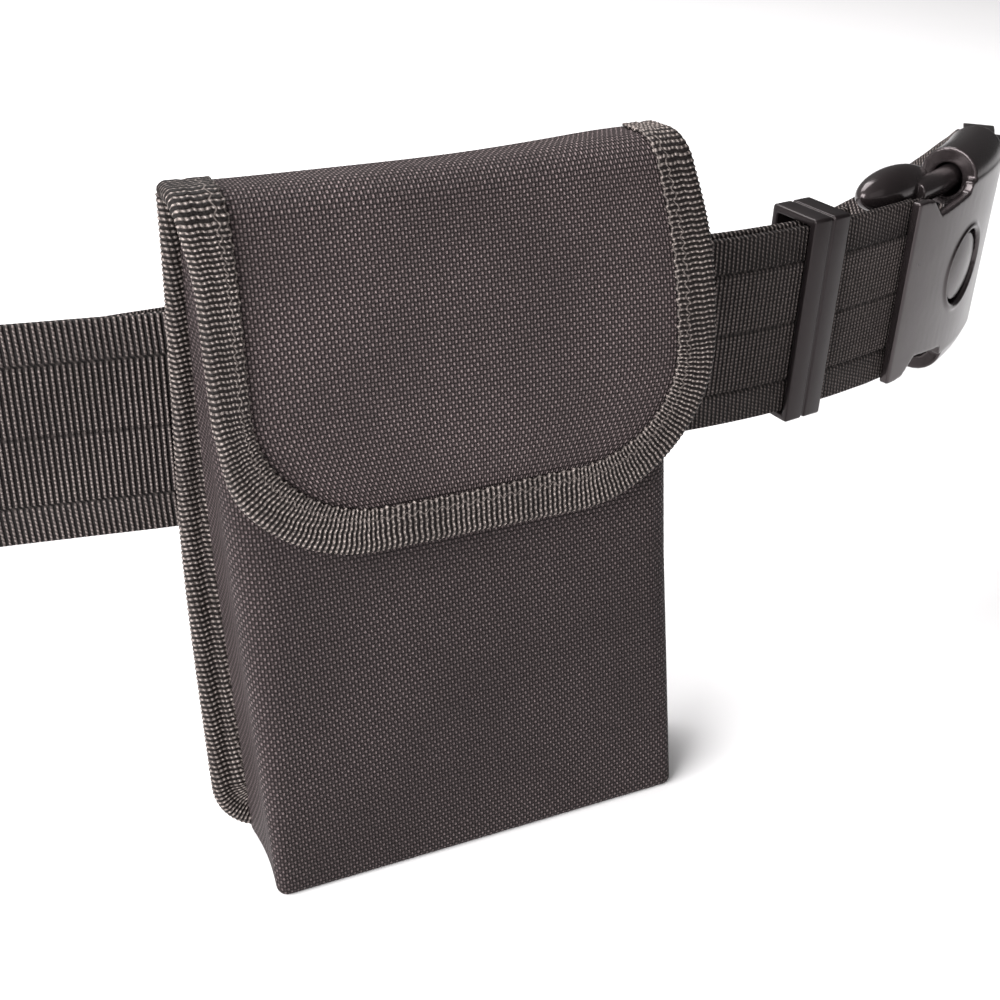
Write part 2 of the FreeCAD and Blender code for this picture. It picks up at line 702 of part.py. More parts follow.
def make_front_and_base():
    fabric = dim("fabric_thick")
    mouth = dim("mouth_height")
    outer = feature("pouch_outer", Part.makeLoft(pouch_wires(0.0, mouth, 0.0), True, True))
    inner = feature("pouch_inner", Part.makeLoft(pouch_wires(fabric, mouth + 1, 3.0), True, True))
    wrap = keep(cut("front_wrap", outer, inner), "pouch_front_panel")
    half = dim("front_base_width") / 2 - fabric - 0.05
    front = front_face(0) + fabric + 0.5
    base = rectangle(-half, front, half, back_face(0) - 0.1)
    floor = pad("base_stock", "XY_Plane", base, "dims.fabric_thick", Placement(Vector(0, 0, fabric / 2), Rotation()))
    keep(floor, "pouch_base_panel")
    return wrap


def leaning(distance, height):
    """Frame on the front panel: Z up its slope, -Y out of it, at a distance in front and a height."""
    tilt = Rotation(Vector(1, 0, 0), -math.degrees(LEAN))
    out = tilt.multVec(Vector(0, -1, 0))
    return Placement(Vector(0, front_face(height), height) + out * distance, tilt)


def leaning_slab(name, half_width, low, high, near, thick):
    """A flat strip lying on the front panel; near is its distance in front of it."""
    length = (high - low) / math.cos(LEAN)
    edges = rectangle(-half_width, 0, half_width, length)
    body = pad(name, "XZ_Plane", edges, f"{thick}", leaning(near + thick / 2, low))
    return keep(body, name)


def make_closure():
    leaning_slab("front_loop_patch", 30.0, 88.0, 124.0, 0.05, 0.9)
    leaning_slab("flap_hook_patch", 30.0, 90.0, 122.0, 1.3, 0.8)
    grip = 7.0
    mouth = leaning(0.0, dim("mouth_height"))
    half = dim("front_top_width") / 2 - 3.0
    fabric = dim("fabric_thick")
    shell = rectangle(-0.8, -grip, fabric + 0.8, 1.2)
    rim = pad("rim_stock", "YZ_Plane", shell, f"{2 * half}", mouth)
    keep(cut("mouth_rim", rim, nodes_by_label("pouch_front_panel")), "mouth_binding")


def nodes_by_label(label):
    return [item for item in nodes if item.Label == label][0]


HINGE_Y = 27.2                  # fold line along the back panel's top edge
HINGE_Z = 154.0
FLAP_FRONT = 3.2                # middle of the flap in front of the front panel
FLAP_ROLL = 6.0                 # radius of the roll over the front edge
FLAP_OFFSET = 1.5               # the flap sits a little to the right of the pouch's middle


def flap_path():
    fall = math.pi * 1.5 - LEAN
    level = HINGE_Z - FLAP_ROLL * (1 - math.cos(fall - math.pi))
    edge = front_face(level) - FLAP_FRONT / math.cos(LEAN)
    top_run = HINGE_Y - edge - FLAP_ROLL * math.sin(fall - math.pi)
    path = Path(HINGE_Y, HINGE_Z, math.pi).line(top_run)
    return path.arc(FLAP_ROLL, math.degrees(fall - math.pi)).line(dim("flap_drop"))


def flap_outline(name, inset, top):
    path = flap_path()
    half = dim("flap_width") / 2 - inset
    edges = round_rectangle(-half, path.y + inset - 0.5, half, top, dim("flap_corner") - inset, 2.0)
    body = pad(name, "XZ_Plane", edges, "2 * dims.pouch_height")
    body.Placement.Base.x = FLAP_OFFSET
    return body


def make_flap():
    half = dim("flap_thick") / 2
    path = flap_path()
    stock = upright(path.band(-half, half), "flap_stock", "dims.flap_width + 6", FLAP_OFFSET)
    panel = common("flap_cut", stock, flap_outline("flap_edge", 1.0, HINGE_Z + 8))
    keep(panel, "flap_panel")
    proud = half + 0.7
    tape = upright(path.band(-proud, proud), "flap_tape", "dims.flap_width + 6", FLAP_OFFSET)
    ring = cut("flap_ring", flap_outline("tape_edge", 0.0, HINGE_Z + 9),
               flap_outline("tape_inner", dim("tape_width"), HINGE_Z + 12))
    trimmed = common("flap_tape_cut", tape, ring)
    keep(cut("flap_binding_cut", trimmed, panel), "flap_binding")


LOOP_MIDDLE = 31.0              # the two belt loops, either side of the pouch's middle
LOOP_TOP = 146.0
LOOP_TURN = 4.0


def make_belt_loops():
    """Webbing loops on the pouch's back that the belt runs through."""
    near = PANEL_BACK + dim("panel_thick") / 2 + dim("loop_thick") / 2 + 0.1
    far = 40.6
    high, low = 128.2, 69.6
    path = Path(near, LOOP_TOP, -math.pi / 2).line(LOOP_TOP - high - LOOP_TURN).arc(LOOP_TURN, 90)
    path.line(far - near - 2 * LOOP_TURN).arc(LOOP_TURN, -90).line(high - low - 2 * LOOP_TURN)
    path.arc(LOOP_TURN, -90).line(far - LOOP_TURN - near + 0.4)
    half = dim("loop_thick") / 2
    for word, side in (("left", -1), ("right", 1)):
        body = upright(path.band(-half, half), f"loop_{word}", "dims.loop_width", side * LOOP_MIDDLE)
        keep(body, f"belt_loop_{word}")


# ---------------------------------------------------------------- build and write
make_belt()
make_male_end()
make_tail()
make_keeper()
make_female_half()
make_male_half()
make_release_arms()
make_centre_release()
make_back_panel()
make_front_and_base()
make_closure()
make_flap()
make_belt_loops()
doc.recompute()

for item in doc.Objects:
    if "Invalid" in item.State or "Error" in item.State:
        raise RuntimeError(f"{item.Label} did not build: {item.State}")
for item in nodes:
    if item.Shape.isNull() or not item.Shape.isValid() or item.Shape.Volume <= 0:
        raise RuntimeError(f"{item.Label} has no valid solid")
for item in nodes:
    item.Shape.exportStep(f"parts/{item.Label}.step")
    box = item.Shape.BoundBox
    print(f"{item.Label:22s} solids {len(item.Shape.Solids)}  {item.Shape.Volume / 1000:8.2f} cm3  "
          f"x {box.XMin:7.1f} {box.XMax:7.1f}  y {box.YMin:7.1f} {box.YMax:7.1f}  z {box.ZMin:7.1f} {box.ZMax:7.1f}")
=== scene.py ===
import math

import bpy
import numpy as np
from mathutils import Matrix, Vector


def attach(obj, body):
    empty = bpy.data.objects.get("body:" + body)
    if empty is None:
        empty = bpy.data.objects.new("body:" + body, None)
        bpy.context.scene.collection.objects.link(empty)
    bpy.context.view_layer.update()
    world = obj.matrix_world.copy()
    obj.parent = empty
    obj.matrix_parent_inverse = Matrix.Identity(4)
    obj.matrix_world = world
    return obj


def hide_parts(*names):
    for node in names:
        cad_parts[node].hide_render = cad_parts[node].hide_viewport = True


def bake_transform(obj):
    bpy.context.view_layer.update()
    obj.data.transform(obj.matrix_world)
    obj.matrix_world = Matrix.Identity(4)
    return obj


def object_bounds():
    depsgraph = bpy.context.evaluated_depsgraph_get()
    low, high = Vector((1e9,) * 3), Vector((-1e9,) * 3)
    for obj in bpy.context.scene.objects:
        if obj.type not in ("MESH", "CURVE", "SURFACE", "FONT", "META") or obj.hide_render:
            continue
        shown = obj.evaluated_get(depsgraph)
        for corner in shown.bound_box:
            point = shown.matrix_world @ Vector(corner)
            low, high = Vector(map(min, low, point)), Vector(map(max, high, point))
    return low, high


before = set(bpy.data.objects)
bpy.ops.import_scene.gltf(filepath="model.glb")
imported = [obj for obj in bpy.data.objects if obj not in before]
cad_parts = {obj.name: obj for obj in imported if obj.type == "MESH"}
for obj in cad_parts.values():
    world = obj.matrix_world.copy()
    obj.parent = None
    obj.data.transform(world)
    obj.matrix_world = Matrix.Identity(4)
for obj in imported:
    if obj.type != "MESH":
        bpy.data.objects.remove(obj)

cad_box = [list(corner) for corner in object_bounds()]
MM = 0.001
PI = math.pi
RIB = 1.2                       # spacing of the ribs of the webbing and the tape


# ---------------------------------------------------------------- shader helpers
class Val:
    """A shader socket that can be used in sums and products."""

    def __init__(self, tree, socket):
        self.tree, self.socket = tree, socket

    def op(self, kind, other=None):
        node = self.tree.nodes.new("ShaderNodeMath")
        node.operation = kind
        for slot, value in zip(node.inputs, (self, other)):
            if isinstance(value, Val):
                self.tree.links.new(value.socket, slot)
            elif value is not None:
                slot.default_value = value
        return Val(self.tree, node.outputs[0])

    def __add__(self, other):
        return self.op("ADD", other)

    def __sub__(self, other):
        return self.op("SUBTRACT", other)

    def __mul__(self, other):
        return self.op("MULTIPLY", other)

    def sin(self):
        return self.op("SINE")

    def abs(self):
        return self.op("ABSOLUTE")

    def near(self, centre, width):
        """1 at the centre, falling to 0 at a distance of width."""
        return (self - centre).abs().step(width, 0.0)

    def step(self, low, high):
        """Smooth step from 0 at low to 1 at high."""
        node = self.tree.nodes.new("ShaderNodeMapRange")
        node.interpolation_type = "SMOOTHSTEP"
        self.tree.links.new(self.socket, node.inputs["Value"])
        node.inputs["From Min"].default_value = min(low, high)
        node.inputs["From Max"].default_value = max(low, high)
        node.inputs["To Min"].default_value = 0.0 if low < high else 1.0
        node.inputs["To Max"].default_value = 1.0 if low < high else 0.0
        return Val(self.tree, node.outputs["Result"])


class Look:
    """A Principled material being built from procedural values."""

    def __init__(self, name, roughness, specular=0.5):
        self.material = bpy.data.materials.new(name)
        self.material.use_nodes = True
        self.tree = self.material.node_tree
        self.shader = self.tree.nodes["Principled BSDF"]
        self.shader.inputs["Roughness"].default_value = roughness
        self.shader.inputs["Specular IOR Level"].default_value = specular

    def uv(self):
        """Millimetres along the cloth and across it, from the piece's own UV map."""
        node = self.tree.nodes.new("ShaderNodeUVMap")
        node.uv_map = "weave"
        split = self.tree.nodes.new("ShaderNodeSeparateXYZ")
        self.tree.links.new(node.outputs["UV"], split.inputs[0])
        return Val(self.tree, split.outputs["X"]), Val(self.tree, split.outputs["Y"])

    def noise(self, scale, detail=3.0, stretch=None):
        """Noise from the object's own coordinates; scale is in cycles per metre."""
        place = self.tree.nodes.new("ShaderNodeTexCoord")
        node = self.tree.nodes.new("ShaderNodeTexNoise")
        node.inputs["Scale"].default_value = scale
        node.inputs["Detail"].default_value = detail
        if stretch:
            shape = self.tree.nodes.new("ShaderNodeMapping")
            shape.inputs["Scale"].default_value = stretch
            self.tree.links.new(place.outputs["Object"], shape.inputs["Vector"])
            self.tree.links.new(shape.outputs["Vector"], node.inputs["Vector"])
        else:
            self.tree.links.new(place.outputs["Object"], node.inputs["Vector"])
        return Val(self.tree, node.outputs["Fac"])

    def mix(self, share, low, high):
        """A colour between two others."""
        node = self.tree.nodes.new("ShaderNodeMix")
        node.data_type = "RGBA"
        self.tree.links.new(share.socket, node.inputs["Factor"])
        for slot, colour in ((node.inputs["A"], low), (node.inputs["B"], high)):
            slot.default_value = (*colour, 1)
        return node.outputs["Result"]

    def colour(self, socket):
        self.tree.links.new(socket, self.shader.inputs["Base Color"])

    def roughness(self, value):
        self.tree.links.new(value.socket, self.shader.inputs["Roughness"])

    def bump(self, height, distance, strength=1.0):
        node = self.tree.nodes.new("ShaderNodeBump")
        node.inputs["Distance"].default_value = distance
        node.inputs["Strength"].default_value = strength
        self.tree.links.new(height.socket, node.inputs["Height"])
        self.tree.links.new(node.outputs["Normal"], self.shader.inputs["Normal"])


ZIGZAG = 2.6                    # length of one zigzag of the tape's thread
STITCH = 3.2                    # length of one stitch in the belt
SEWN_ROW = 16.0                 # the belt's outer sewn rows, from its middle
SHADED_FROM = 835.0             # along the belt: from here to the buckle its crowns are darker, painted shade where the pouch shades the belt


def oxford(name, light, dark=(0.0080, 0.0055, 0.0058), warp=0.735, weft=0.92):
    """Coarse plain weave: light oblong crowns staggered row by row over a dark ground."""
    look = Look(name, 0.62, specular=0.14)
    u, v = look.uv()
    wander = look.noise(900.0, 2.0)
    patch = look.noise(35.0, 2.0)
    across = ((u + wander * 0.3) * (PI / warp)).sin()
    along = ((v + wander * 0.24) * (PI / weft)).sin()
    wave = across * along
    crown = wave.step(-0.15, 1.0)
    under = (wave * -1.0).step(0.0, 0.95)
    fibre = look.noise(4200.0, 2.0, (1.0, 1.0, 2.5)).step(0.3, 0.72)
    level = crown * (fibre * 0.75 + 0.3) * (patch.step(0.25, 0.8) * 0.4 + 0.7) + under * 0.16
    look.colour(look.mix(level, dark, light))
    look.roughness(level * -0.25 + 0.66)
    look.bump(wave.abs() * 0.7 + crown * 0.7 + fibre * 0.16, 0.001, 0.6)
    return look.material


def tape(name, rib=RIB, pick=1.15, dark=(0.0070, 0.0050, 0.0048), light=(0.56, 0.475, 0.44), rows=()):
    """Ribbed grosgrain tape: each rib is a row of light dots; a zigzag thread runs along each sewn row."""
    look = Look(name, 0.5, specular=0.16)
    u, v = look.uv()
    wander = look.noise(1100.0, 2.0)
    ridge = ((u + wander * 0.3) * (2 * PI / rib)).sin() * 0.5 + 0.5
    dot = ((v + u * 0.18 + wander * 0.4) * (2 * PI / pick)).sin() * 0.5 + 0.5
    fibre = look.noise(5000.0, 2.0).step(0.3, 0.72)
    crown = ridge.step(0.42, 0.98) * (dot.step(0.2, 0.9) * 0.72 + 0.28)
    patch = look.noise(50.0, 2.0).step(0.25, 0.8)
    level = crown * (fibre * 0.65 + 0.35) * (patch * 0.45 + 0.6) + fibre * 0.015
    for row in rows:
        track = v + (u * (2 * PI / ZIGZAG)).sin() * 0.45
        level = level * (track.near(row, 0.75) * -0.6 + 1.0) + track.near(row, 0.3) * 0.26
    level = level + v.near(0.25, 0.3) * 0.2
    look.colour(look.mix(level, dark, light))
    look.roughness(level * -0.2 + 0.6)
    look.bump(ridge * 0.6 + ridge * dot + fibre * 0.14, 0.0008, 0.6)
    return look.material


def webbing(name, rib=RIB, pick=0.98, dark=(0.0062, 0.0045, 0.0044), light=(0.42, 0.35, 0.33)):
    """Heavy belt webbing: ribs of light dots, which slant beside the edges, and three dark sewn rows; towards
    the buckle its crowns are darkened as painted shade.
    """
    look = Look(name, 0.5, specular=0.16)
    u, v = look.uv()
    wander = look.noise(1000.0, 2.0)
    fibre = look.noise(5200.0, 2.0).step(0.3, 0.72)
    outer = v.abs().step(SEWN_ROW - 0.4, SEWN_ROW + 0.4)
    ridge = ((u + wander * 0.3 + v * outer * 0.05) * (2 * PI / rib)).sin() * 0.5 + 0.5
    dot = ((v + wander * 0.35 + u * outer * 0.4) * (2 * PI / pick)).sin() * 0.5 + 0.5
    crown = ridge.step(0.42, 0.98) * (dot.step(0.2, 0.92) * 0.66 + 0.34)
    rows = v.near(0.0, 0.6) + v.abs().near(SEWN_ROW, 0.6)
    stitch = (u * (2 * PI / STITCH)).sin().step(0.45, 0.95) * rows
    patch = look.noise(40.0, 2.0).step(0.25, 0.8)
    # painted shade: the crowns fade to half their level over 33 mm and stay so up to the buckle, where the
    # pouch shades the belt
    painted_shade = u.step(SHADED_FROM, SHADED_FROM + 33.0) * -0.5 + 1.0
    level = crown * (fibre * 0.65 + 0.35) * (patch * 0.35 + 0.65) * (rows * -0.85 + 1.0) * painted_shade
    level = level + stitch * 0.07
    look.colour(look.mix(level, dark, light))
    look.roughness(level * -0.18 + 0.62)
    look.bump(ridge * 0.6 + ridge * dot + fibre * 0.14, 0.0008, 0.6)
    return look.material


def plastic(name, colour, roughness, grain=0.05, gloss=0.5):
    """Moulded plastic: a faint skin texture, uneven gloss and slightly lighter scuffs."""
    look = Look(name, roughness, specular=gloss)
    look.shader.inputs["Specular Tint"].default_value = (1.0, 0.88, 0.89, 1.0)
    cloud = look.noise(60.0, 4.0)
    skin = look.noise(2600.0, 3.0)
    scuff = look.noise(420.0, 5.0, (1.0, 1.0, 0.25)).step(0.6, 0.8)
    level = scuff * 0.5 + cloud.step(0.3, 0.8) * 0.5
    look.colour(look.mix(level, colour, tuple(c * 1.5 for c in colour)))
    look.roughness(cloud * 0.12 + scuff * 0.08 + (roughness - 0.07))
    look.bump(skin * 0.012 + cloud * grain * 8.0, 0.0004, 1.0)
    return look.material


FABRIC = oxford("pouch_oxford", light=(0.225, 0.174, 0.175))
# painted light: the flap is the pouch's own oxford with its crowns made lighter, as the flap is better lit
# than the panels under it
LIT_FLAP_FABRIC = oxford("flap_oxford_painted_light", light=(0.36, 0.28, 0.28))
TAPE = tape("binding_grosgrain", rows=(2.5,))
WEB = webbing("belt_webbing")
BUCKLE = plastic("buckle_moulding", (0.012, 0.0095, 0.0098), 0.22, 0.07, gloss=0.6)
KEEPER = plastic("keeper_moulding", (0.008, 0.0062, 0.0065), 0.33, 0.06, gloss=0.3)
CORE = plastic("stiffener_sheet", (0.05, 0.05, 0.05), 0.5)
HOOK = tape("hook_and_loop", 0.9, 0.9, (0.01, 0.01, 0.01), (0.05, 0.05, 0.05))


# ---------------------------------------------------------------- mesh helpers
def make_mesh(name, points, faces, uvs, material, body, slot, *nodes):
    """A piece from points in millimetres, faces and one UV per face corner."""
    mesh = bpy.data.meshes.new(name)
    mesh.from_pydata((np.asarray(points) * MM).tolist(), [], faces)
    if uvs is not None:
        layer = mesh.uv_layers.new(name="weave")
        layer.data.foreach_set("uv", np.asarray(uvs, np.float32).ravel())
    mesh.polygons.foreach_set("use_smooth", [True] * len(mesh.polygons))
    mesh.materials.append(material)
    piece = bpy.data.objects.new(name, mesh)
    bpy.context.scene.collection.objects.link(piece)
    if body:
        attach(piece, body)
    if nodes:
        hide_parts(*nodes)
    return piece


def grid(P, UV, ring=True, caps=True):
    """Faces of an array of points; ring closes the second direction, whose UV has one more column."""
    n, m = P.shape[:2]
    index = np.arange(n * m).reshape(n, m)
    cols = m if ring else m - 1
    i, j = np.meshgrid(np.arange(n - 1), np.arange(cols), indexing="ij")
    i, j = i.ravel(), j.ravel()
    k = (j + 1) % m
    faces = np.stack([index[i, j], index[i + 1, j], index[i + 1, k], index[i, k]], 1)
    uv = np.stack([UV[i, j], UV[i + 1, j], UV[i + 1, j + 1], UV[i, j + 1]], 1)
    faces, uv = faces.tolist(), uv.reshape(-1, 2).tolist()
    if caps and ring:
        for row, order in ((0, 1), (n - 1, -1)):
            faces.append(index[row][::order].tolist())
            uv.extend(UV[row, :m][::order].tolist())
    return P.reshape(-1, 3), faces, uv


def unit(a):
    """Vectors of length one."""
    return a / np.linalg.norm(a, axis=-1, keepdims=True)


def bell(x, width):
    """1 at zero, falling away on both sides."""
    return np.exp(-(x / width) ** 2)


def smooth(x, low, high):
    """Smooth step from 0 at low to 1 at high."""
    t = np.clip((x - low) / (high - low), 0, 1)
    return t * t * (3 - 2 * t)


# ---------------------------------------------------------------- the belt's line, as in the CAD part
class Path:
    """A level line of straight runs and arcs that follow on from each other."""

    def __init__(self, x, y, heading):
        self.x, self.y, self.heading, self.spans = x, y, heading, []

    def line(self, length):
        self.spans.append((self.x, self.y, self.heading, length, None))
        self.x += length * math.cos(self.heading)
        self.y += length * math.sin(self.heading)
        return self

    def arc(self, radius, turn_degrees):
        turn = math.radians(turn_degrees)
        side = math.copysign(radius, turn)
        self.spans.append((self.x, self.y, self.heading, radius * abs(turn), side))
        end = self.heading + turn
        self.x += side * (math.sin(end) - math.sin(self.heading))
        self.y += side * (math.cos(self.heading) - math.cos(end))
        self.heading = end
        return self

    def length(self):
        return sum(span[3] for span in self.spans)

    def at(self, travel):
        """Place and heading at a distance along the line."""
        for span in self.spans:
            if travel <= span[3] or span is self.spans[-1]:
                x, y, heading, _, side = span
                if side is None:
                    return x + travel * math.cos(heading), y + travel * math.sin(heading), heading
                end = heading + travel / side
                return (x + side * (math.sin(end) - math.sin(heading)),
                        y + side * (math.cos(heading) - math.cos(end)), end)
            travel -= span[3]

    def frames(self, travels, height=None):
        """Middles, inward directions and upward directions along the path."""
        plan = np.array([self.at(s) for s in travels])
        x, y, heading = plan.T
        z = np.full_like(x, BELT_MID) if height is None else np.array([height(s) for s in travels])
        slope = np.zeros_like(x) if height is None else np.array(
            [height(s + 0.5) - height(s - 0.5) for s in travels])
        tangent = unit(np.stack([np.cos(heading), np.sin(heading), slope], 1))
        inward = np.stack([-np.sin(heading), np.cos(heading), np.zeros_like(x)], 1)
        return np.stack([x, y, z], 1), inward, np.cross(tangent, inward)


BELT_MID = 99.0                 # height of the belt's middle at the front
BACK_REST = 25.0                # the same on the back run, which rests on its edge
BELT_BACK = 31.6                # the belt's middle plane behind the pouch
BELT_WIDTH, INNER_WIDTH = 50.0, 49.0
HALF = 1.5                      # half of the belt's thickness
LAYER = 1.1                     # thickness of one layer of webbing
TAIL_HALF = 1.1                 # half of the tail's thickness
R = 138.0                       # radius of the buckle's front face
START = math.radians(16.0)      # heading where the buckle begins
CX = 138.0 - R * math.sin(START)
CY = 35.4 + R * math.cos(START)
LEFT_TURN = 7.7                 # degrees that the belt turns to the left of the pouch
RIGHT_END, LEFT_END = 172.0, 188.0
RIGHT_DROP, LEFT_DROP = 118.0, 235.0
MALE_BAR, MALE_FOLD = 83.0, 3.65
BUTTON_PLACE, BUTTON_RADIUS = 34.0, 9.7


def buckle_point(travel, radius, height=0.0):
    a = START + travel / R
    return np.array([CX + radius * math.sin(a), CY - radius * math.cos(a), BELT_MID + height])


def unit_arc(start, end):
    """How far an arc of radius one carries, from one heading to another."""
    a, b = math.radians(start), math.radians(end)
    return math.sin(b) - math.sin(a), math.cos(a) - math.cos(b)


def belt_path():
    """The belt's loop, from the male half's bar round the back to the female half."""
    begin = buckle_point(MALE_BAR, 128.0 + MALE_FOLD)
    heading = math.degrees(START + MALE_BAR / R)
    path = Path(begin[0], begin[1], math.radians(heading))
    path.arc(72.0, RIGHT_END - heading).arc(970.0, LEFT_END - RIGHT_END)
    entry = Path(-45.0, BELT_BACK, PI).arc(130.0, -LEFT_TURN)
    bend = unit_arc(LEFT_END, 360 - LEFT_TURN)
    run = math.cos(math.radians(-LEFT_TURN)), math.sin(math.radians(-LEFT_TURN))
    gap_x, gap_y = entry.x - path.x, entry.y - path.y
    spread = bend[0] * run[1] - bend[1] * run[0]
    path.arc((gap_x * run[1] - gap_y * run[0]) / spread, 360 - LEFT_TURN - LEFT_END)
    path.line((bend[0] * gap_y - bend[1] * gap_x) / spread).arc(130.0, LEFT_TURN)
    return path.line(120.0).arc(228.0, 16.0).line(3.0)


BELT = belt_path()
LENGTH = BELT.length()
LEFT_LEVEL = LENGTH - 3.0 - sum(span[3] for span in BELT.spans[-5:-1])


def ease(part, soft=0.22):
    """A ramp from 0 to 1 with rounded ends."""
    part = min(max(part, 0.0), 1.0)
    if part > 0.5:
        return 1 - ease(1 - part)
    if part < soft:
        return part * part / (2 * soft * (1 - soft))
    return (part - soft / 2) / (1 - soft)


def belt_height(travel):
    """Height of the belt's middle: high at the front, resting on the table at the back."""
    rise = BELT_MID - BACK_REST
    if travel < RIGHT_DROP:
        return BELT_MID - rise * ease(travel / RIGHT_DROP)
    return BACK_REST + rise * ease((travel - LEFT_LEVEL + LEFT_DROP) / LEFT_DROP)


# ---------------------------------------------------------------- straps
def strap_profile(half, low, high, rows):
    """Closed outline across a strap: (height, offset, 1 on the outer face, -1 on the inner one)."""
    r = (high - low) / 2
    flat = half - r
    face = np.linspace(-flat, flat, 33)
    near = [row + d for row in rows for d in (-0.9, -0.45, 0.0, 0.45, 0.9)]
    face = np.array(sorted(set(np.round(np.concatenate([face, near]), 3))))
    dip = sum(0.34 * bell(face - row, 0.5) for row in rows) if rows else 0 * face
    out = [(v, low + d, 1.0) for v, d in zip(face, dip)]
    mid = (low + high) / 2
    out += [(flat + r * math.sin(a), mid - r * math.cos(a), 0.5) for a in (PI * k / 5 for k in range(1, 5))]
    out += [(v, high - d, -1.0) for v, d in zip(face[::-1], np.broadcast_to(dip, face.shape)[::-1])]
    out += [(-flat - r * math.sin(a), mid + r * math.cos(a), 0.5) for a in (PI * k / 5 for k in range(1, 5))]
    return np.array(out)


def strap(name, path, start, end, half, offsets, body, nodes, rows=(), height=None, step=0.3, rib=RIB,
          depth=0.13):
    """Webbing along a path, with ribs across it and sewn furrows along it."""
    count = max(int((end - start) / step), 4)
    travels = np.linspace(start, end, count + 1)
    middle, inward, upward = path.frames(travels, height)
    low, high = offsets(0.0) if callable(offsets) else offsets
    profile = strap_profile(half, low, high, list(rows))
    v, off, face = profile.T
    shift = np.array([offsets(s)[0] - low for s in travels]) if callable(offsets) else np.zeros_like(travels)
    wave = depth * np.cos(2 * PI * travels[:, None] / rib) * (0.55 + 0.45 * (np.abs(v) < SEWN_ROW)[None, :])
    dents = wave * face[None, :]
    wobble = 0.12 * np.sin(travels / 23.0)[:, None] * np.sign(v) * (np.abs(v) > half - 2)
    P = (middle[:, None] + inward[:, None] * (off + shift[:, None] - dents)[..., None]
         + upward[:, None] * (v + wobble)[..., None])
    across = np.concatenate([v, [v[0]]])
    UV = np.stack(np.broadcast_arrays(travels[:, None] + 0.25 * rib, across[None, :]), -1)
    return make_mesh(name, *grid(P, UV), WEB, body, "webbing", *nodes)


ROWS = (-SEWN_ROW, 0.0, SEWN_ROW)
strap("belt_outer", BELT, 0.4, LENGTH, BELT_WIDTH / 2, (-HALF, -HALF + LAYER), "belt", ["belt_outer_webbing"],
      rows=ROWS, height=belt_height)
strap("belt_inner", BELT, 0.4, LENGTH, INNER_WIDTH / 2, (HALF - LAYER, HALF), "belt", ["belt_inner_webbing"],
      rows=ROWS, height=belt_height, step=0.6, rib=2 * RIB, depth=0.05)

SEWN = HALF + 0.35 + 1.2        # middle of the layer that is sewn back at the male half


def return_offsets(travel):
    """The returned layer leaves the fold and settles on the belt's inner face."""
    middle = SEWN + (2 * MALE_FOLD - SEWN) * (1 - ease(travel / 20.0))
    return middle - 1.15, middle + 1.15


strap("male_return", BELT, 0.3, 50.0, 24.0, return_offsets, "belt", ["male_end_return"],
      rows=ROWS, height=belt_height)
begin = buckle_point(MALE_BAR, 128.0 + MALE_FOLD)
male_fold = Path(begin[0], begin[1], START + MALE_BAR / R + PI).arc(MALE_FOLD, -180)
strap("male_fold", male_fold, 0.0, MALE_FOLD * PI, 24.0, (-1.2, 1.2), "belt", ["male_end_fold"],
      depth=0.08)


def tail_path():
    """The tail lies inside the belt and bends in to the female half's bar."""
    offset = HALF + 0.9 + TAIL_HALF
    path = Path(-20.0, BELT_BACK + offset, 0).line(95.0)
    return path.arc(228.0 - offset, 6.0).arc(84.0, 14.6)


TAIL = tail_path()
strap("tail", TAIL, 0.0, TAIL.length(), 25.0, (-TAIL_HALF, TAIL_HALF), "belt", ["belt_tail"], rows=ROWS)
FOLD = Path(TAIL.x, TAIL.y, TAIL.heading).line(26.6).arc(3.2, -180).line(3.0)
strap("bar_fold", FOLD, 0.25, FOLD.length(), 15.0, (-1.2, 1.2), "belt", ["belt_bar_fold"])


# ---------------------------------------------------------------- pouch surfaces
LEAN = math.atan2(30.8, 152.0)  # the front panel leans back from its foot to its mouth
TAPE_WIDTH = 10.0


def back_y(z):
    """Middle of the back panel: upright behind the belt, then leaning forward below it."""
    return 26.5 - 0.2083 * 4.0 * np.log1p(np.exp(np.clip((74.0 - z) / 4.0, -40, 40)))


def panel_point(x, z, off):
    """A point on the back panel, moved towards the front by off."""
    slope = (back_y(z + 0.5) - back_y(z - 0.5))
    size = np.sqrt(1 + slope ** 2)
    # the top edge sags towards the left, and the left edge leans in
    drop = (0.9 + 1.7 * smooth(-x, -45, 45)) * smooth(z, 105, 150)
    z = z - np.minimum(drop, np.maximum(z - 100, 0))
    x = x * (1 - 0.04 * smooth(z, 40, 150) * smooth(-x, 20, 50))
    return np.stack([x, back_y(z) - off / size, z + off * slope / size], -1)


class Outline:
    """A line of runs and arcs in a panel's own plane, sampled evenly, with inward directions."""

    def __init__(self, path, step):
        travels = np.linspace(0, path.length(), int(path.length() / step) + 1)
        plan = np.array([path.at(s) for s in travels])
        self.travel, self.x, self.y = travels, plan[:, 0], plan[:, 1]
        self.nx, self.ny = -np.sin(plan[:, 2]), np.cos(plan[:, 2])


